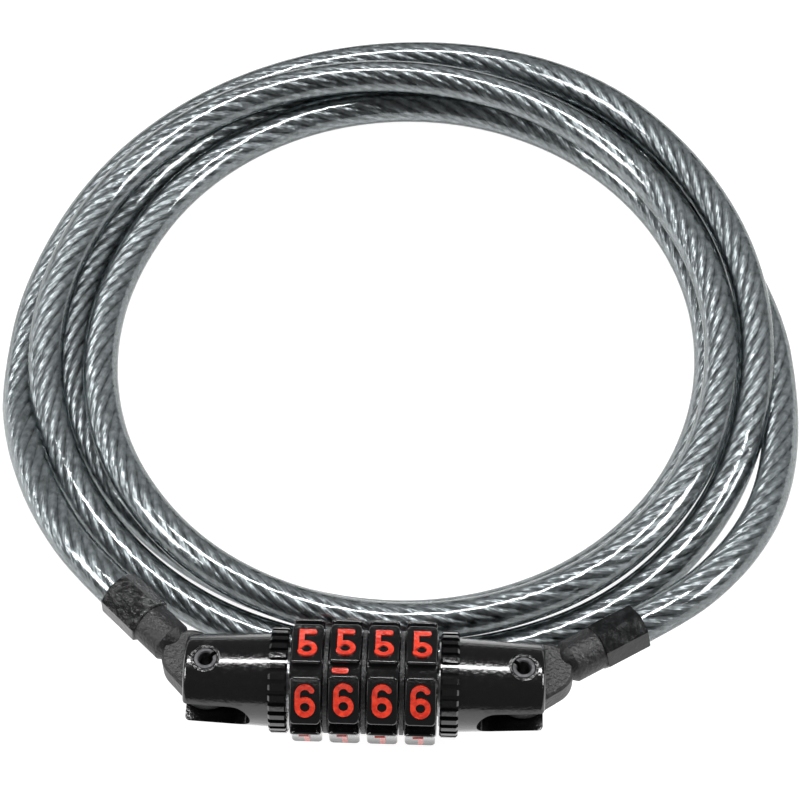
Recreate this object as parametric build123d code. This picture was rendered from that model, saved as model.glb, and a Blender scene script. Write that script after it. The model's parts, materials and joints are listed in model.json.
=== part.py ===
from build123d import *
import math
import os

# Combination cable lock, millimetres. The lock's axis is the X axis and the origin is the
# middle of the dial stack. +X points to the half that pulls out, +Y to the coiled cable
# behind the lock, +Z up. The cable's coil lies flat, with its base at z = floor_z.

os.makedirs("parts", exist_ok=True)

# ---- driving dimensions -------------------------------------------------------------------
positions = 6
dial_count = 4
dial_pitch = 4.7
dial_width = 4.05
dial_radius = 7.98
dial_floor_radius = 6.6
pad_dish = 0.4
pad_half_angle = 23.9
pad_corner = 0.6
pad_edge = 0.22
pad_side_gap = 0.12
pad_rest_elevation = 44.5
numeral_height = 4.2
numeral_width = 2.5
numeral_stroke = 0.66
numeral_rise = 0.24
dial_rest_turn = (2.0, 0.0, 0.0, 0.0)

stack_half = 9.4
collar_width = 2.3
collar_radius = 6.6
collar_teeth = 30
collar_tooth_depth = 0.5
housing_end = 22.3
housing_inner_radius = 5.85
housing_outer_radius = 5.35
rim_fillet = 0.6

barrel_radius = 4.0
barrel_bore = 2.6
barrel_fixed_end = 13.3
barrel_open_end = 10.6
running_gap = 0.05
key_width = 1.6
code_radius = 5.6
code_width = 2.6
gate_radius = 5.05
lug_radius = 4.85
lug_width = 1.4
lug_length = 0.9
spacer_thickness = 0.5
spacer_radius = 6.45
clip_radius = 5.2
clip_length = 0.9
pin_rod_radius = 2.55
rod_nose = 9.9
rod_root_radius = 3.0
rod_root_end = 13.6
spring_radius = 2.0
spring_wire = 0.28

fork_slot = 4.6
fork_slot_floor = 14.0
hinge_x = 19.6
hinge_radius = 1.5
hinge_bore = 0.85
hinge_slit = 0.5
hinge_half_length = 5.15
hinge_recess = 0.35

tongue_thickness = 3.6
tongue_radius = 3.7
tongue_reach = 3.4
tongue_edge = 0.35
neck_radius = 2.72
neck_start = 5.2
neck_full = 7.0
neck_end = 11.0
spigot_radius = 2.0
spigot_length = 1.6
sleeve_flats = 5.8
sleeve_end = 17.2
left_swing = 43.4
right_swing = 31.5
left_sleeve_roll = 20.0
right_sleeve_roll = 1.5

cable_radius = 2.5
core_radius = 2.0
floor_z = -11.5

# The coil's outline: two ellipses that come close together behind the lock. A second layer of
# turns lies on the first, a step in from its outer edge, and thins out towards the lock.
coil_inner_centre = (3.7, 59.2)
coil_inner_radii = (41.7, 43.7)
coil_outer_centre = (2.6, 61.4)
coil_outer_radii = (56.3, 56.2)
coil_height = 2 * cable_radius
coil_round = 2.3
coil_top_height = 9.4
coil_top_step = 3.2
coil_top_round = 1.8
coil_slope_start = 10.0
coil_slope_end = 42.0

# Each lead runs straight out of its sleeve's mouth, and then down into the side of the coil.
left_lead_start = 6.0
left_lead_points = [
    (-40.8, 21.5, -0.6), (-45.1, 29.3, -2.4), (-48.7, 38.7, -5.2), (-51.0, 48.8, -8.6),
]
right_lead_start = 6.5
right_lead_points = [
    (44.6, 16.8, -0.4), (48.9, 22.4, -1.5), (52.6, 29.8, -3.4), (55.2, 39.4, -6.2),
    (56.4, 50.6, -8.7),
]

parts = {}


# ---- shared helpers -----------------------------------------------------------------------
def along_x(radius, x0, x1):
    """A solid cylinder on the lock's axis, from x0 to x1."""
    middle = (x0 + x1) / 2
    return Pos(middle, 0, 0) * Rot(0, 90, 0) * Cylinder(radius, abs(x1 - x0))


def tube_x(outer, inner, x0, x1):
    """A tube on the lock's axis, from x0 to x1."""
    return along_x(outer, x0, x1) - along_x(inner, x0 - 1, x1 + 1)


def block(x0, x1, y0, y1, z0, z1):
    """A box given by its lowest and highest corners."""
    centre = ((x0 + x1) / 2, (y0 + y1) / 2, (z0 + z1) / 2)
    return Pos(*centre) * Box(x1 - x0, y1 - y0, z1 - z0)


def mirrored(shape, side):
    """The same shape on the left (side -1) or as it is, on the right (side 1)."""
    if side > 0:
        return shape
    return mirror(shape, about=Plane.YZ)


def dial_x(index):
    """The middle of dial number index, counted from the left, from 0."""
    return (index - (dial_count - 1) / 2) * dial_pitch


def turned(shape, degrees):
    """The shape turned about the lock's axis."""
    return Rot(degrees, 0, 0) * shape


# ---- housings and collars -----------------------------------------------------------------
def housing():
    """Right-hand end shell: a tapered body, forked at its outer end, with a hinge pin hole."""
    start = stack_half + collar_width
    profile = Polyline(
        (start, 0), (start, housing_inner_radius), (housing_end, housing_outer_radius),
        (housing_end, 0), (start, 0),
    )
    body = revolve(make_face(profile), Axis.X)
    rims = body.edges().filter_by(GeomType.CIRCLE).sort_by(Axis.X)
    body = fillet(rims[-1], rim_fillet)
    slot_height = fork_slot / 2
    floor = fork_slot_floor + slot_height
    slot = block(floor, housing_end + 1, -8, 8, -slot_height, slot_height)
    slot += Pos(floor, 0, 0) * Rot(90, 0, 0) * Cylinder(slot_height, 16)
    body -= slot
    body -= Pos(hinge_x, 0, 0) * Cylinder(hinge_radius, 20)
    recess_level = hinge_half_length + 1
    for up in (1, -1):
        body -= Pos(hinge_x, 0, up * recess_level) * Cylinder(hinge_radius + hinge_recess, 2)
    return body


def collar(bore):
    """Right-hand knurled ring: flat lands along the axis, with a groove between each two."""
    start = stack_half
    end = stack_half + collar_width
    ring = tube_x(collar_radius, bore, start, end)
    outer = [e for e in ring.edges().filter_by(GeomType.CIRCLE) if e.radius > collar_radius - 0.1]
    ring = chamfer(outer, 0.25)
    groove_half = math.pi * collar_radius / collar_teeth / 2
    groove = block(
        start - 1, end + 1, -groove_half, groove_half,
        collar_radius - collar_tooth_depth, collar_radius + 1,
    )
    step = 360 / collar_teeth
    grooves = [turned(groove, step * (n + 0.5)) for n in range(collar_teeth)]
    return ring - grooves


left_shell = mirrored(housing(), -1)
parts["left_housing"] = left_shell - along_x(barrel_radius, -barrel_fixed_end, 0)
parts["left_collar"] = mirrored(collar(barrel_radius), -1)
right_shell = housing() - along_x(rod_root_radius, 0, rod_root_end)
parts["right_housing"] = right_shell
clip_pocket = along_x(clip_radius + 0.25, stack_half - 1, barrel_open_end + 0.2)
parts["right_collar"] = collar(rod_root_radius) - clip_pocket


# ---- barrel, clip and leaf ----------------------------------------------------------------
def barrel():
    """Slotted tube: a key slot on top for the lugs, and a flat groove below for the leaf."""
    body = tube_x(barrel_radius, barrel_bore, -barrel_fixed_end, barrel_open_end)
    slot_start = -stack_half + 0.1
    body -= block(slot_start, barrel_open_end + 1, -key_width / 2, key_width / 2, 0, 6)
    leaf_groove = block(-stack_half, stack_half - 0.4, -0.8, 0.8, -6, -barrel_radius + 0.5)
    return body - leaf_groove


def barrel_clip():
    """The ring pressed on the barrel's free end, notched on top so the lugs can pass."""
    x0 = stack_half - 0.15
    ring = tube_x(clip_radius, barrel_radius, x0, x0 + clip_length)
    return ring - block(x0 - 1, x0 + 2, -key_width / 2, key_width / 2, 0, 6)


def detent_leaf():
    """Thin strip in the barrel's lower groove, with one low bump under each dial."""
    top = -barrel_radius + 0.45
    strip = block(-stack_half + 0.3, stack_half - 0.8, -0.65, 0.65, top - 0.2, top)
    for index in range(dial_count):
        x = dial_x(index) + 0.4
        bump = Pos(x, 0, top) * Rot(90, 0, 0) * Cylinder(0.4, 1.3)
        strip += bump & block(x - 1, x + 1, -1, 1, -barrel_radius + 0.06, top)
    return strip


parts["barrel"] = barrel()
parts["barrel_clip"] = barrel_clip()
parts["detent_leaf"] = detent_leaf()


# ---- dials --------------------------------------------------------------------------------
def sector_point(radius, degrees):
    """A point on a circle round the axis, as (y, z), counted from the top."""
    angle = math.radians(degrees)
    return (radius * math.sin(angle), radius * math.cos(angle))


# Each pad's outer face is dished: part of a cylinder whose axis lies outside the dial.
pad_half_width = dial_radius * math.sin(math.radians(pad_half_angle))
pad_edge_height = dial_radius * math.cos(math.radians(pad_half_angle))
pad_middle = pad_edge_height - pad_dish
dish_radius = (pad_half_width ** 2 + pad_dish ** 2) / (2 * pad_dish)


def pad():
    """One raised pad of a dial, on top: a dished sector with rounded corners and edges."""
    inner = dial_floor_radius - 0.4
    half = pad_half_angle
    outer_arc = ThreePointArc(
        (-pad_half_width, pad_edge_height), (0, pad_middle), (pad_half_width, pad_edge_height)
    )
    inner_arc = ThreePointArc(
        sector_point(inner, -half), (0, inner), sector_point(inner, half)
    )
    sides = [
        Line(sector_point(inner, side), sector_point(dial_radius, side)) for side in (-half, half)
    ]
    face = make_face([outer_arc, inner_arc, *sides])
    width = dial_width - 2 * pad_side_gap
    block_shape = extrude(Plane.YZ * face, amount=width / 2, both=True)
    radial = block_shape.edges().filter_by(GeomType.LINE).filter_by(Axis.X, reverse=True)
    block_shape = fillet(radial, pad_corner)
    crown = block_shape.faces().filter_by(GeomType.CYLINDER)
    crown = crown.filter_by(lambda f: abs(f.radius - dish_radius) < 0.01)
    return fillet(crown[0].edges(), pad_edge)


def dial(index):
    """One number wheel: a plain rim with six raised pads, bored for its code ring."""
    width = dial_width / 2
    rim = along_x(dial_floor_radius, -width, width)
    rim = chamfer(rim.edges().filter_by(GeomType.CIRCLE), 0.15)
    shape = rim + [turned(pad_shape, pad_turn(n)) for n in range(positions)]
    shape -= along_x(code_radius, -width - 1, width + 1)
    return Pos(dial_x(index), 0, 0) * turned(shape, dial_rest_turn[index])


def pad_turn(n):
    """How far pad n is turned from the top, about the axis, towards the back (-Y is front)."""
    return 90 - pad_rest_elevation - n * 360 / positions


def stroke_faces(edges):
    """The union of a pen stroke along each edge, with round ends and joints."""
    pen = trace(edges, numeral_stroke)
    for edge in edges:
        for point in (edge @ 0, edge @ 1):
            pen += Pos(point.X, point.Y, 0) * Circle(numeral_stroke / 2)
    return pen


def numeral_edges(value):
    """The centreline of one numeral, drawn about its middle."""
    w = (numeral_width - numeral_stroke) / 2
    h = (numeral_height - numeral_stroke) / 2
    if value == 1:
        return [Line((0.1 * w, h), (0.1 * w, -h)), Line((0.1 * w, h), (-0.6 * w, 0.55 * h))]
    if value == 2:
        top = CenterArc((0, h - w), w, 165, -200)
        return [top, Line(top @ 1, (-w, -h)), Line((-w, -h), (w, -h))]
    if value == 3:
        top = CenterArc((0, h - 0.86 * w), 0.86 * w, 155, -245)
        base = CenterArc((0, -h + w), w, 90, -245)
        return [top, base]
    if value == 4:
        slope = Line((0.35 * w, h), (-w, -0.35 * h))
        bar = Line((-w, -0.35 * h), (w, -0.35 * h))
        return [slope, bar, Line((0.35 * w, h), (0.35 * w, -h))]
    bowl = (0, -h + w)
    if value == 5:
        curve = CenterArc(bowl, w, 140, -290)
        corner = (-0.78 * w, h)
        return [Line((0.85 * w, h), corner), Line(corner, curve @ 0), curve]
    ring = [CenterArc(bowl, w, 0, 180), CenterArc(bowl, w, 180, 180)]
    stem = Line((-w, -h + w), (-w, h - w))
    return [*ring, stem, CenterArc((0, h - w), w, 180, -150)]


def numeral(value, index):
    """One raised numeral on its pad; 6 is on the first pad and the values fall going back."""
    face = stroke_faces(numeral_edges(value))
    post = extrude(Plane.XY * face, amount=dial_radius + 2)
    skin = tube_x(dish_radius, dish_radius - numeral_rise, -dial_width, dial_width)
    skin = Pos(0, 0, pad_middle + dish_radius) * skin
    shape = (post & skin).solid()
    turn = pad_turn(positions - value) + dial_rest_turn[index]
    return Pos(dial_x(index), 0, 0) * turned(shape, turn)


def code_ring(index):
    """The gated ring inside a dial: one deep gate for the lug, and shallow click notches."""
    x1 = dial_x(index) + dial_width / 2
    x0 = x1 - code_width
    bore = barrel_radius + running_gap
    ring = tube_x(code_radius, bore, x0, x1)
    gate = (key_width + 0.1) / 2
    ring -= block(x0 - 1, x1 + 1, -gate, gate, 0, gate_radius)
    notch = Pos((x0 + x1) / 2, 0, -bore) * Rot(0, 90, 0) * Cylinder(0.35, code_width + 1)
    clicks = [turned(notch, n * 360 / positions) for n in range(positions)]
    return ring - clicks


pad_shape = pad()
for index in range(dial_count):
    number = index + 1
    parts[f"dial_{number}"] = dial(index)
    values = range(1, positions + 1)
    parts[f"numerals_{number}"] = Compound([numeral(value, index) for value in values])
    parts[f"code_ring_{number}"] = code_ring(index)


# ---- spacers between the dials ------------------------------------------------------------
def spacer(index):
    """A thin washer fixed on the barrel, notched on top so the lugs can pass."""
    middle = dial_x(index) + dial_pitch / 2
    half = spacer_thickness / 2
    ring = tube_x(spacer_radius, barrel_radius, middle - half, middle + half)
    gate = (key_width + 0.1) / 2
    return ring - block(middle - 1, middle + 1, -gate, gate, 0, gate_radius)


for index in range(dial_count - 1):
    parts[f"spacer_{index + 1}"] = spacer(index)


# ---- shackle pin and spring ---------------------------------------------------------------
def shackle_pin():
    """The rod that locks in the barrel: one lug sits in the recess on each dial's left side."""
    root_start = barrel_open_end + 0.3
    rod = along_x(pin_rod_radius, -rod_nose, root_start)
    rod = chamfer(rod.edges().filter_by(GeomType.CIRCLE).sort_by(Axis.X)[0], 0.6)
    rod += along_x(rod_root_radius, root_start, rod_root_end)
    half = lug_width / 2
    for index in range(dial_count):
        recess_middle = dial_x(index) - code_width / 2
        x0 = recess_middle - lug_length / 2
        rod += block(x0, x0 + lug_length, -half, half, 0, 6) & along_x(lug_radius, x0, x0 + 1)
    return rod


def ejector_spring():
    """The small coil spring between the barrel's closed end and the shackle pin's nose."""
    turns = 3
    start = -barrel_fixed_end + spring_wire
    height = barrel_fixed_end - rod_nose - 2 * spring_wire - 0.1
    coil = Helix(height / turns, height, spring_radius, direction=(1, 0, 0))
    wire = Plane(origin=coil @ 0, z_dir=coil % 0) * Circle(spring_wire)
    return Pos(start, 0, 0) * sweep(wire, path=coil, is_frenet=True)


parts["shackle_pin"] = shackle_pin()
parts["ejector_spring"] = ejector_spring()


# ---- hinge pins and cable ends ------------------------------------------------------------
def hinge_pin():
    """A slotted roll pin through the fork, standing along Z."""
    height = 2 * hinge_half_length
    tube = Cylinder(hinge_radius, height) - Cylinder(hinge_bore, height + 1)
    tube = chamfer(tube.edges().filter_by(GeomType.CIRCLE), 0.15)
    slit = block(-hinge_radius - 1, 0, -hinge_slit / 2, hinge_slit / 2, -height, height)
    return Pos(hinge_x, 0, 0) * Rot(0, 0, -35) * (tube - slit)


def swivel():
    """Cable end, lying along +X from its hinge: a flat oval tongue, then a round neck."""
    eye = Circle(tongue_radius)
    nose = Pos(tongue_reach, 0) * Circle(tongue_radius - 0.2)
    outline = make_hull([*eye.edges(), *nose.edges()])
    tongue = extrude(outline, amount=tongue_thickness / 2, both=True)
    rims = tongue.edges().group_by(Axis.Z)
    tongue = chamfer([*rims[0], *rims[-1]], tongue_edge)
    neck_profile = Polyline(
        (neck_start, 0), (neck_start, tongue_thickness / 2 - 0.4), (neck_full, neck_radius),
        (neck_end, neck_radius), (neck_end, spigot_radius), (neck_end + spigot_length, spigot_radius),
        (neck_end + spigot_length, 0), (neck_start, 0),
    )
    body = tongue + revolve(make_face(neck_profile), Axis.X)
    return body - Cylinder(hinge_radius + running_gap, 10)


def crimp_sleeve(roll):
    """An octagonal tube crimped over the neck's spigot and the bare end of the cable."""
    length = sleeve_end - neck_end
    tube = extrude(RegularPolygon(sleeve_flats / 2, 8, major_radius=False), amount=length)
    ends = tube.edges().group_by(Axis.Z)
    tube = chamfer([*ends[0], *ends[-1]], 0.12)
    tube -= Cylinder(spigot_radius, 3 * length)
    return Pos(neck_end, 0, 0) * Rot(0, 90, 0) * Rot(0, 0, roll) * tube


def swung(shape, side, swing):
    """A cable end's piece set on its hinge, swung towards the back by its rest angle."""
    return mirrored(Pos(hinge_x, 0, 0) * Rot(0, 0, swing) * shape, side)


# ---- cable --------------------------------------------------------------------------------
def bend_radii(points):
    """The largest even bend at each inner point: 0.45 of the shorter run over tan(half turn)."""
    radii = []
    for before, here, after in zip(points, points[1:], points[2:]):
        run_in = Vector(here) - Vector(before)
        run_out = Vector(after) - Vector(here)
        half_turn = math.radians(run_in.get_angle(run_out)) / 2
        radii.append(0.45 * min(run_in.length, run_out.length) / math.tan(half_turn))
    return radii


def lead(side, swing, start, later_points):
    """The free stretch of cable from a sleeve's mouth to the coil, as a plain tube."""
    angle = math.radians(swing)
    ahead = Vector(side * math.cos(angle), math.sin(angle), 0)
    mouth = Vector(side * hinge_x, 0, 0) + ahead * sleeve_end
    points = [mouth, mouth + ahead * start, *[Vector(p) for p in later_points]]
    radii = bend_radii(points)
    path = FilletPolyline(*points, radius=radii)
    tube = sweep(Plane(origin=path @ 0, z_dir=path % 0) * Circle(cable_radius), path=path)
    expected = math.pi * cable_radius ** 2 * path.length
    runs = [round((b - a).length, 1) for a, b in zip(points, points[1:])]
    print("lead", side, "points", [tuple(round(c, 2) for c in p) for p in points])
    print("  runs", runs, "radii", [round(r, 1) for r in radii])
    print("  length", round(path.length, 2), "volume / (section x length)", tube.volume / expected)
    return tube


def cable_end(name, side, swing, roll, start, later_points):
    """Every piece of one cable end, and the free stretch of cable that leaves it."""
    bare_end = along_x(core_radius, neck_end + spigot_length, sleeve_end)
    parts[f"{name}_hinge_pin"] = mirrored(hinge_pin(), side)
    parts[f"{name}_swivel"] = swung(swivel(), side, swing)
    parts[f"{name}_crimp_sleeve"] = swung(crimp_sleeve(roll), side, swing)
    parts[f"{name}_core_end"] = swung(bare_end, side, swing)
    parts[f"{name}_cable_lead"] = lead(side, swing, start, later_points)


cable_end("left", -1, left_swing, left_sleeve_roll, left_lead_start, left_lead_points)
cable_end("right", 1, right_swing, right_sleeve_roll, right_lead_start, right_lead_points)


def cable_coil():
    """The outer shape of the coiled turns: a flat ring, and the layer of turns that lies on it."""
    outer = Pos(*coil_outer_centre) * Ellipse(*coil_outer_radii)
    inner = Pos(*coil_inner_centre) * Ellipse(*coil_inner_radii)
    lower = extrude(outer - inner, amount=coil_height)
    lower = fillet(lower.edges(), coil_round)
    top_radii = [radius - coil_top_step for radius in coil_outer_radii]
    top_outer = Pos(*coil_outer_centre) * Ellipse(*top_radii)
    upper = extrude(top_outer - inner, amount=coil_top_height)
    reach = coil_outer_centre[1] + coil_outer_radii[1] + 10
    side = Polyline(
        (0, cable_radius), (coil_slope_start, coil_height - 0.5), (coil_slope_end, coil_top_height),
        (reach, coil_top_height), (reach, cable_radius), (0, cable_radius),
    )
    wedge = extrude(Plane.YZ * make_face(side), amount=reach, both=True)
    upper &= wedge
    rims = [e for e in upper.edges() if e.center().Z > coil_height]
    upper = fillet(rims, coil_top_round)
    return Pos(0, 0, floor_z) * (lower + upper)


parts["cable_coil"] = cable_coil()

for node, shape in parts.items():
    export_step(shape, f"parts/{node}.step")
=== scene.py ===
import json
import math

import bpy
import numpy as np
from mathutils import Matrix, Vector


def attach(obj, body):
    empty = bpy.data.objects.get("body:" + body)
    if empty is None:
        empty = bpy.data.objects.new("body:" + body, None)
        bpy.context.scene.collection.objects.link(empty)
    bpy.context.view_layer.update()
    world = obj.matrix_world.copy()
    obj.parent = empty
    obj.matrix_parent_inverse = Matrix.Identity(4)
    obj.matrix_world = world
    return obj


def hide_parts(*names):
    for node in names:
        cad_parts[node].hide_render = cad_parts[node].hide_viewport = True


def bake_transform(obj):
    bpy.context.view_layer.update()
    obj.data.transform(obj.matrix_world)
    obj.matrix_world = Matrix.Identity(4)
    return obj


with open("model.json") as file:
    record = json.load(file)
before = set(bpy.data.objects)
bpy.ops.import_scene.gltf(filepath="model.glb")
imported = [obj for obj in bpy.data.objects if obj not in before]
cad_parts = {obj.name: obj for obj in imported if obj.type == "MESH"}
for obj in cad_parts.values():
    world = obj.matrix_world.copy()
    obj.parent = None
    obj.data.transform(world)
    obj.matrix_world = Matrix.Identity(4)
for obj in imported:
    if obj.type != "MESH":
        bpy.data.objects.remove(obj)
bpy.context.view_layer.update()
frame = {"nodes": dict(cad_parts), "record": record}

NODES = frame["nodes"]
MM = 0.001

# Sizes in millimetres and angles in degrees, the same as in the CAD part.
FLOOR_Z = -11.5
CABLE_RADIUS = 2.5
HINGE_X = 19.6
SLEEVE_END = 17.2
LEFT_SWING = 43.4
RIGHT_SWING = 31.5

# Looks of the cable, lengths in millimetres: a rope of twisted strands in a clear jacket.
JACKET_SIDES = 24
ROPE_STRANDS = 7
STRAND_RADIUS = 0.66
STRAND_RING = 1.5
WIRES = 6
POINTS_PER_WIRE = 3
WIRE_RELIEF = 0.11
LAY_LENGTH = 25.0
WIRE_LAY = 18.0


# ---- camera -------------------------------------------------------------------------------
CAMERA_PLACE = (0.0084, -0.1251, 0.2455)
CAMERA_LENS = 98.5
CAMERA_SENSOR = 36
LOOKS_DOWN = math.radians(55.62)
LOOKS_ASIDE = math.radians(-1.84)


def make_camera():
    """The camera, looking down at the lock from the front."""
    data = bpy.data.cameras.new("camera")
    data.sensor_fit = "HORIZONTAL"
    data.sensor_width = CAMERA_SENSOR
    data.lens = CAMERA_LENS
    data.clip_start = 0.01
    data.clip_end = 5
    camera = bpy.data.objects.new("camera", data)
    bpy.context.scene.collection.objects.link(camera)
    camera.location = CAMERA_PLACE
    forward = Vector((
        math.sin(LOOKS_ASIDE) * math.cos(LOOKS_DOWN),
        math.cos(LOOKS_ASIDE) * math.cos(LOOKS_DOWN),
        -math.sin(LOOKS_DOWN),
    ))
    camera.rotation_euler = forward.to_track_quat("-Z", "Y").to_euler()
    bpy.context.scene.camera = camera


make_camera()


# ---- cable route --------------------------------------------------------------------------
def sleeve_mouth(side, swing, further):
    """A point on a cable end's axis, that far past its crimp sleeve's mouth."""
    angle = math.radians(swing)
    reach = SLEEVE_END + further
    return (side * (HINGE_X + reach * math.cos(angle)), reach * math.sin(angle), 0.0)


# Where each lead leaves its sleeve and goes down to the coil, as in the CAD part.
LEFT_LEAD = [
    sleeve_mouth(-1, LEFT_SWING, 0), sleeve_mouth(-1, LEFT_SWING, 6.0),
    (-40.8, 21.5, -0.6), (-45.1, 29.3, -2.4), (-48.7, 38.7, -5.2), (-51.0, 48.8, -8.6),
]
RIGHT_LEAD = [
    sleeve_mouth(1, RIGHT_SWING, 0), sleeve_mouth(1, RIGHT_SWING, 6.5),
    (44.6, 16.8, -0.4), (48.9, 22.4, -1.5), (52.6, 29.8, -3.4), (55.2, 39.4, -6.2),
    (56.4, 50.6, -8.7),
]

# The coil's inner edge is an ellipse. Each turn lies some way out from it and some way above
# the floor, in cable diameters, and both change slowly from place to place round the coil.
COIL_CENTRE = (3.7, 59.2)
COIL_RADII = (41.7, 43.7)
POINTS_PER_TURN = 16
LINE_STEPS = 20

# (degrees clockwise from the left, how far out, how high) for the middle of the cable
COIL_LAY = [
    (0, 2.64, 0.0), (45, 2.5, 0.0), (90, 2.42, 0.0), (112, 2.25, 0.6), (135, 1.75, 0.98),
    (157, 1.7, 0.98), (180, 1.65, 0.9), (202, 1.8, 0.5), (225, 1.95, 0.15), (247, 1.82, 0.03),
    (270, 1.64, 0.0), (292, 1.9, 0.12), (315, 2.22, 0.35), (337, 2.2, 0.7),
    (360, 2.05, 0.87), (405, 1.45, 1.0), (450, 0.68, 0.99), (495, 0.4, 1.0), (540, 0.65, 0.98),
    (562, 0.8, 0.97), (585, 1.05, 0.88), (607, 1.03, 0.85), (630, 1.02, 0.84),
    (652, 1.08, 0.92), (675, 1.05, 1.0), (697, 0.75, 0.86), (708, 0.6, 0.6), (720, 0.5, 0.15),
    (742, 0.5, 0.0), (765, 0.5, 0.0), (810, 0.45, 0.0), (855, 0.5, 0.0), (900, 0.5, 0.0),
    (945, 0.5, 0.0), (990, 0.46, 0.0), (1012, 0.6, 0.0), (1035, 0.95, 0.0), (1057, 1.3, 0.0),
    (1080, 1.5, 0.0), (1125, 1.5, 0.0), (1170, 1.43, 0.0), (1215, 1.55, 0.0),
    (1237, 1.8, 0.0), (1260, 2.15, 0.0),
]


def smooth_value(stops, column, at):
    """A value between a list's stops, with no corners: a Catmull-Rom curve through them."""
    places = [stop[0] for stop in stops]
    index = max(0, min(len(stops) - 2, sum(place <= at for place in places) - 1))
    step = (at - places[index]) / (places[index + 1] - places[index])
    p0, p1, p2, p3 = (
        stops[max(0, min(len(stops) - 1, index + k))][column] for k in (-1, 0, 1, 2)
    )
    slope_in = (p2 - p0) / 2
    slope_out = (p3 - p1) / 2
    rise = p2 - p1
    cubic = slope_in + slope_out - 2 * rise
    square = 3 * rise - 2 * slope_in - slope_out
    return p1 + step * (slope_in + step * (square + step * cubic))


def coil_point(degrees):
    """The middle of the cable at that many degrees round the coil, clockwise from its left."""
    angle = math.radians(180 - degrees)
    out = 2 * CABLE_RADIUS * smooth_value(COIL_LAY, 1, degrees)
    height = 2 * CABLE_RADIUS * max(0.0, smooth_value(COIL_LAY, 2, degrees))
    return (
        COIL_CENTRE[0] + (COIL_RADII[0] + out) * math.cos(angle),
        COIL_CENTRE[1] + (COIL_RADII[1] + out) * math.sin(angle),
        FLOOR_Z + CABLE_RADIUS + height,
    )


# Degrees round the coil where the left lead joins it, where its last turn starts, which goes
# with the plug, and where the right lead joins it.
COIL_START = 8.0
LAST_TURN_START = 1170.0
COIL_END = 1254.0
COIL_SWEEP = COIL_END - COIL_START
COIL_STEPS = int(COIL_SWEEP * POINTS_PER_TURN / 360)
COIL = [coil_point(COIL_START + COIL_SWEEP * k / COIL_STEPS) for k in range(COIL_STEPS + 1)]


def route_line(name, points):
    """The points of a smooth line along a route, in metres."""
    curve = bpy.data.curves.new(name, "CURVE")
    curve.dimensions = "3D"
    spline = curve.splines.new("NURBS")
    spline.points.add(len(points) - 1)
    for point, place in zip(spline.points, points):
        point.co = (place[0] * MM, place[1] * MM, place[2] * MM, 1)
    spline.order_u = 3
    spline.use_endpoint_u = True
    spline.resolution_u = LINE_STEPS
    bare = bpy.data.objects.new(name, curve)
    mesh = bpy.data.meshes.new_from_object(bare)
    line = np.array([v.co for v in mesh.vertices])
    bpy.data.meshes.remove(mesh)
    bpy.data.objects.remove(bare)
    bpy.data.curves.remove(curve)
    return line


ROUTE = LEFT_LEAD + COIL + RIGHT_LEAD[::-1]
LINE = route_line("cable_route", ROUTE)


def nearest_index(place, low, high):
    """The index of the line's point nearest to a place in millimetres, between two indices."""
    away = np.linalg.norm(LINE[low:high] - np.array(place) * MM, axis=1)
    return low + int(away.argmin())


def travelling_frames(line):
    """A pair of directions across the line at each of its points, that don't spin along it."""
    ahead = np.gradient(line, axis=0)
    ahead /= np.linalg.norm(ahead, axis=1)[:, None]
    side = np.cross(ahead[0], (0, 0, 1))
    across = []
    for direction in ahead:
        side = side - direction * side.dot(direction)
        side = side / np.linalg.norm(side)
        across.append(side)
    across = np.array(across)
    return across, np.cross(ahead, across)


ACROSS, UP = travelling_frames(LINE)
ALONG = np.concatenate([[0], np.cumsum(np.linalg.norm(np.diff(LINE, axis=0), axis=1))])


def tube_mesh(rings):
    """The points and faces of an open tube through rings, an array of rings x points x 3."""
    count, sides = rings.shape[:2]
    k = np.arange(count - 1)[:, None] * sides
    j = np.arange(sides)[None, :]
    after = (j + 1) % sides
    faces = np.stack([k + j, k + after, k + sides + after, k + sides + j], axis=-1)
    return rings.reshape(-1, 3), [tuple(face) for face in faces.reshape(-1, 4)]


def add_object(name, vertices, faces, material):
    """A smooth-shaded mesh object in the scene, with one material."""
    mesh = bpy.data.meshes.new(name)
    mesh.from_pydata([tuple(v) for v in vertices], [], faces)
    mesh.materials.append(material)
    mesh.shade_smooth()
    obj = bpy.data.objects.new(name, mesh)
    bpy.context.scene.collection.objects.link(obj)
    return obj


def jacket_rings(radius, sides):
    """Rings of a plain tube along the whole cable."""
    turn = np.linspace(0, 2 * math.pi, sides, endpoint=False)
    a = ACROSS[:, None, :] * np.cos(turn)[None, :, None]
    b = UP[:, None, :] * np.sin(turn)[None, :, None]
    return LINE[:, None, :] + radius * (a + b)


def strand_rings(index):
    """Rings of one strand that winds round the whole cable's middle; its wires show as lobes."""
    lay = 2 * math.pi * (ALONG / (LAY_LENGTH * MM) + index / ROPE_STRANDS)
    out = ACROSS * np.cos(lay)[:, None] + UP * np.sin(lay)[:, None]
    around = np.gradient(out, axis=0)
    around /= np.linalg.norm(around, axis=1)[:, None]
    centre = LINE + out * STRAND_RING * MM
    turn = np.linspace(0, 2 * math.pi, POINTS_PER_WIRE * WIRES, endpoint=False)[None, :]
    reach = STRAND_RADIUS * MM * (1 + WIRE_RELIEF * np.cos(WIRES * turn))
    wind = 2 * math.pi * ALONG[:, None] / (WIRE_LAY * MM)
    a = out[:, None, :] * (reach * np.cos(turn + wind))[:, :, None]
    b = around[:, None, :] * (reach * np.sin(turn + wind))[:, :, None]
    return centre[:, None, :] + a + b


JACKET_RINGS = jacket_rings(CABLE_RADIUS * MM, JACKET_SIDES)
STRAND_RINGS = [strand_rings(index) for index in range(ROPE_STRANDS)]


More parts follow.
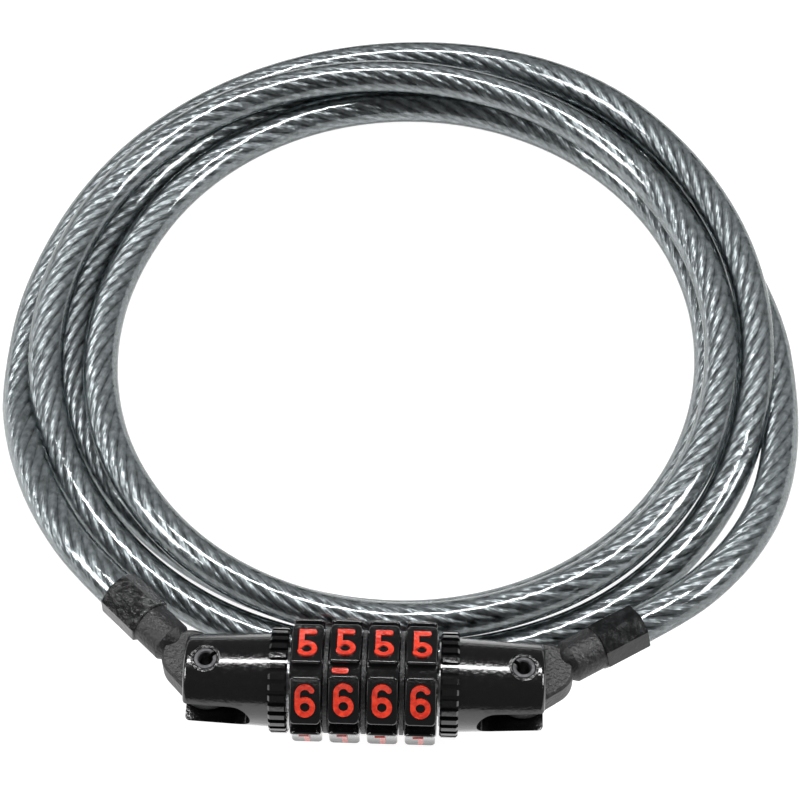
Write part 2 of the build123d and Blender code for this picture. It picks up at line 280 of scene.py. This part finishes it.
def tube_object(name, ring_sets, material):
    """One mesh object made of several open tubes."""
    vertices = []
    faces = []
    for rings in ring_sets:
        points, quads = tube_mesh(rings)
        faces += [tuple(i + len(vertices) for i in face) for face in quads]
        vertices += list(points)
    return add_object(name, vertices, faces, material)


# ---- materials ----------------------------------------------------------------------------
# the sockets of a Mix node that are for colours
MIX_FIRST = 6
MIX_SECOND = 7
MIX_RESULT = 2


class Graph:
    """A material's nodes, with short ways to add and join them."""

    def __init__(self, name):
        self.material = bpy.data.materials.new(name)
        self.material.use_nodes = True
        self.tree = self.material.node_tree
        self.shader = self.tree.nodes["Principled BSDF"]
        self.output = self.tree.nodes["Material Output"]
        self.place = self.add("ShaderNodeTexCoord").outputs["Object"]

    def add(self, kind, **settings):
        """A new node of that kind."""
        node = self.tree.nodes.new(kind)
        for key, value in settings.items():
            setattr(node, key, value)
        return node

    def link(self, source, target):
        """A link from an output to an input."""
        self.tree.links.new(source, target)

    def set(self, **values):
        """Fixed values on the Principled shader; an underscore stands for a space."""
        for key, value in values.items():
            self.shader.inputs[key.replace("_", " ")].default_value = value

    def noise(self, scale, detail, roughness=0.5):
        """Cloudy noise in the object's own space, from 0 to 1."""
        node = self.add("ShaderNodeTexNoise")
        node.inputs["Scale"].default_value = scale
        node.inputs["Detail"].default_value = detail
        node.inputs["Roughness"].default_value = roughness
        self.link(self.place, node.inputs["Vector"])
        return node.outputs["Fac"]

    def ramp(self, source, low, high, low_value, high_value):
        """A source mapped from low..high to low_value..high_value, clamped."""
        node = self.add("ShaderNodeMapRange")
        for key, value in zip(
            ("From Min", "From Max", "To Min", "To Max"), (low, high, low_value, high_value)
        ):
            node.inputs[key].default_value = value
        self.link(source, node.inputs["Value"])
        return node.outputs["Result"]

    def mix(self, factor, first, second):
        """A colour between two others."""
        node = self.add("ShaderNodeMix", data_type="RGBA")
        self.link(factor, node.inputs["Factor"])
        node.inputs[MIX_FIRST].default_value = (*first, 1)
        node.inputs[MIX_SECOND].default_value = (*second, 1)
        return node.outputs[MIX_RESULT]

    def bump(self, height, strength, distance):
        """A bump on the Principled shader, where the distance is in metres."""
        node = self.add("ShaderNodeBump")
        node.inputs["Strength"].default_value = strength
        node.inputs["Distance"].default_value = distance
        self.link(height, node.inputs["Height"])
        self.link(node.outputs["Normal"], self.shader.inputs["Normal"])


def clear_jacket():
    """Clear soft plastic: what is inside shows through, under a skin with mirror-like glints."""
    graph = Graph("clear_jacket")
    graph.set(Base_Color=(0.90, 0.96, 0.97, 1), Metallic=1.0, Roughness=0.12)
    graph.bump(graph.noise(300, 2), 0.3, 0.0004)
    fresnel = graph.add("ShaderNodeFresnel")
    fresnel.inputs["IOR"].default_value = 1.45
    factor = graph.ramp(fresnel.outputs["Fac"], 0.0, 1.0, 0.06, 1.0)
    clear = graph.add("ShaderNodeBsdfTransparent")
    clear.inputs["Color"].default_value = (0.93, 0.96, 0.96, 1)
    both = graph.add("ShaderNodeMixShader")
    graph.link(factor, both.inputs["Fac"])
    graph.link(clear.outputs["BSDF"], both.inputs[1])
    graph.link(graph.shader.outputs["BSDF"], both.inputs[2])
    graph.link(both.outputs["Shader"], graph.output.inputs["Surface"])
    return graph.material


def rope_steel():
    """Galvanised steel wire: grey, satin, with dull and bright places along it."""
    graph = Graph("rope_steel")
    graph.set(Metallic=0.7)
    patches = graph.noise(900, 4)
    colour = graph.mix(
        graph.ramp(patches, 0.3, 0.7, 0, 1), (0.16, 0.165, 0.17), (0.42, 0.435, 0.45)
    )
    graph.link(colour, graph.shader.inputs["Base Color"])
    rough = graph.ramp(graph.noise(2500, 3), 0.3, 0.7, 0.30, 0.48)
    graph.link(rough, graph.shader.inputs["Roughness"])
    return graph.material


JACKET = clear_jacket()
ROPE = rope_steel()


# ---- the cable's pieces -------------------------------------------------------------------
LEFT_JOIN = nearest_index(LEFT_LEAD[-1], 0, len(LINE) // 8)
RIGHT_JOIN = nearest_index(RIGHT_LEAD[-1], len(LINE) * 7 // 8, len(LINE))
LAST_TURN = nearest_index(coil_point(LAST_TURN_START), len(LINE) // 2, RIGHT_JOIN)


def cable_piece(name, first, last):
    """One stretch of the cable: its jacket and the rope inside it."""
    jacket = tube_object(name + "_jacket", [JACKET_RINGS[first:last + 1]], JACKET)
    strands = [rings[first:last + 1] for rings in STRAND_RINGS]
    rope = tube_object(name + "_rope", strands, ROPE)
    return jacket, rope


left_lead = cable_piece("left_lead", 0, LEFT_JOIN)
coil = cable_piece("coil", LEFT_JOIN, LAST_TURN)
last_turn = cable_piece("last_turn", LAST_TURN, RIGHT_JOIN)
right_lead = cable_piece("right_lead", RIGHT_JOIN, len(LINE) - 1)

for piece in coil:
    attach(piece, "lock_body")
for piece in left_lead:
    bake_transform(piece)
for piece in last_turn:
    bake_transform(piece)
for piece in right_lead:
    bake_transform(piece)
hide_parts("cable_coil")
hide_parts("left_cable_lead")
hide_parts("right_cable_lead")


# ---- materials of the CAD pieces ----------------------------------------------------------
def black_lacquer():
    """Glossy black enamel on die-cast metal, with a fine grain and uneven gloss."""
    graph = Graph("black_lacquer")
    graph.set(Base_Color=(0.003, 0.003, 0.0035, 1), Coat_Weight=0.6, Coat_Roughness=0.06)
    rough = graph.ramp(graph.noise(1400, 4), 0.35, 0.7, 0.10, 0.24)
    graph.link(rough, graph.shader.inputs["Roughness"])
    graph.bump(graph.noise(2600, 3), 0.2, 0.0002)
    return graph.material


def rough_black():
    """Matte black finish with a rough cast grain, worn to grey in small spots."""
    graph = Graph("rough_black")
    spots = graph.ramp(graph.noise(1800, 5, 0.7), 0.60, 0.72, 0, 1)
    colour = graph.mix(spots, (0.005, 0.005, 0.006), (0.12, 0.12, 0.13))
    graph.link(colour, graph.shader.inputs["Base Color"])
    graph.set(Roughness=0.45)
    graph.bump(graph.noise(2200, 5), 0.6, 0.0003)
    return graph.material


def sleeve_black():
    """Grey-black crimped tube: satin, with rubbed patches."""
    graph = Graph("sleeve_black")
    rub = graph.ramp(graph.noise(700, 5, 0.6), 0.45, 0.70, 0, 1)
    colour = graph.mix(rub, (0.004, 0.0042, 0.0045), (0.016, 0.017, 0.018))
    graph.link(colour, graph.shader.inputs["Base Color"])
    graph.link(graph.ramp(rub, 0, 1, 0.18, 0.34), graph.shader.inputs["Roughness"])
    graph.bump(graph.noise(1500, 3), 0.2, 0.0003)
    return graph.material


def red_paint():
    """Orange-red enamel, laid on by hand: a little uneven in colour and in height."""
    graph = Graph("red_paint")
    uneven = graph.ramp(graph.noise(1500, 3), 0.35, 0.65, 0, 1)
    colour = graph.mix(uneven, (0.42, 0.018, 0.008), (0.68, 0.045, 0.018))
    graph.link(colour, graph.shader.inputs["Base Color"])
    graph.set(Roughness=0.3, Coat_Weight=0.4)
    graph.bump(graph.noise(2600, 3), 0.5, 0.0003)
    return graph.material


def plain_metal(name, colour, roughness):
    """Turned metal, with fine marks and dull spots."""
    graph = Graph(name)
    dark = tuple(0.55 * c for c in colour)
    spots = graph.ramp(graph.noise(1600, 4), 0.35, 0.7, 0, 1)
    graph.link(graph.mix(spots, colour, dark), graph.shader.inputs["Base Color"])
    graph.set(Metallic=1.0)
    rough = graph.ramp(graph.noise(2400, 3), 0.3, 0.7, roughness, roughness + 0.15)
    graph.link(rough, graph.shader.inputs["Roughness"])
    graph.bump(graph.noise(3000, 3), 0.25, 0.0002)
    return graph.material


RED = red_paint()
BY_SLOT = {
    "black_lacquer": black_lacquer(),
    "red_paint": RED,
    "steel": plain_metal("steel", (0.60, 0.60, 0.62), 0.25),
    "pin_steel": plain_metal("pin_steel", (0.10, 0.10, 0.105), 0.5),
    "black_swivel": rough_black(),
    "black_sleeve": sleeve_black(),
    "black_washer": rough_black(),
    "brass": plain_metal("brass", (0.72, 0.52, 0.22), 0.3),
    "rope_steel": ROPE,
    "clear_jacketed_rope": JACKET,
}
SLOT_OF = {part["node"]: part["material_slot"] for part in frame["record"]["subparts"]}
for node, obj in NODES.items():
    obj.data.materials.clear()
    obj.data.materials.append(BY_SLOT[SLOT_OF[node]])


# ---- a dab of paint -----------------------------------------------------------------------
# The dab lies on a groove's floor. Its rim and its middle stand a little above that.
GROOVE_RADIUS = 6.6
DAB_RIM = 0.03
DAB_TOP = 0.08
DAB_SIDES = 24
DAB_ENDS = (-3.9, -1.85)
DAB_ELEVATION = math.radians(74.5)
DAB_SPREAD = math.radians(3.2)


def on_groove(x, elevation, above):
    """A point over the floor of a dial's groove, in metres."""
    radius = (GROOVE_RADIUS + above) * MM
    return (x * MM, -radius * math.cos(elevation), radius * math.sin(elevation))


def squared(value):
    """A sine or cosine pushed outwards, which makes a circle into a rounded square."""
    return math.copysign(math.sqrt(abs(value)), value)


def paint_dab():
    """A thin dab of paint on the floor of a groove of the second dial, on its left."""
    middle = sum(DAB_ENDS) / 2
    reach = (DAB_ENDS[1] - DAB_ENDS[0]) / 2
    rim = []
    for k in range(DAB_SIDES):
        turn = 2 * math.pi * k / DAB_SIDES
        x = middle + reach * squared(math.cos(turn))
        elevation = DAB_ELEVATION + DAB_SPREAD * squared(math.sin(turn))
        rim.append(on_groove(x, elevation, DAB_RIM))
    top = on_groove(middle, DAB_ELEVATION, DAB_TOP)
    faces = [(k, (k + 1) % DAB_SIDES, DAB_SIDES) for k in range(DAB_SIDES)]
    dab = add_object("paint_dab", [*rim, top], faces, RED)
    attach(dab, "dial_wheel_2")


paint_dab()


# ---- floor and light ----------------------------------------------------------------------
FLOOR_GAP = 0.05
FLOOR_REACH = 3.0
LAMP_TARGET = (0, 0.04, 0)
SKY_STRENGTH = 0.12


def make_floor():
    """A plain white floor just under the coil, which glows so that it shows hardly any shadow."""
    graph = Graph("floor")
    graph.set(
        Base_Color=(0.3, 0.3, 0.3, 1), Roughness=0.9, Specular_IOR_Level=0.0,
        Emission_Color=(1, 1, 1, 1), Emission_Strength=0.95,
    )
    z = (FLOOR_Z - FLOOR_GAP) * MM
    corners = [
        (-FLOOR_REACH, -FLOOR_REACH, z), (FLOOR_REACH, -FLOOR_REACH, z),
        (FLOOR_REACH, FLOOR_REACH, z), (-FLOOR_REACH, FLOOR_REACH, z),
    ]
    add_object("floor", corners, [(0, 1, 2, 3)], graph.material)


def make_lamp(name, place, size, power):
    """A rectangular lamp that points at the lock, with its size in metres and power in watts."""
    data = bpy.data.lights.new(name, "AREA")
    data.shape = "RECTANGLE"
    data.size, data.size_y = size
    data.energy = power
    lamp = bpy.data.objects.new(name, data)
    lamp.location = place
    lamp.rotation_euler = (Vector(LAMP_TARGET) - Vector(place)).to_track_quat("-Z", "Y").to_euler()
    bpy.context.scene.collection.objects.link(lamp)


def make_sky():
    """A dim white sky."""
    world = bpy.data.worlds.new("world")
    world.use_nodes = True
    background = world.node_tree.nodes["Background"]
    background.inputs["Color"].default_value = (1, 1, 1, 1)
    background.inputs["Strength"].default_value = SKY_STRENGTH
    bpy.context.scene.world = world


make_floor()
make_lamp("top", (0.0, 0.25, 0.8), (0.7, 0.12), 8.0)
make_lamp("left", (-0.7, -0.1, 0.5), (0.3, 0.3), 4.0)
make_lamp("right", (0.7, 0.0, 0.5), (0.3, 0.3), 4.0)
make_sky()
bpy.context.scene.view_settings.view_transform = "Standard"
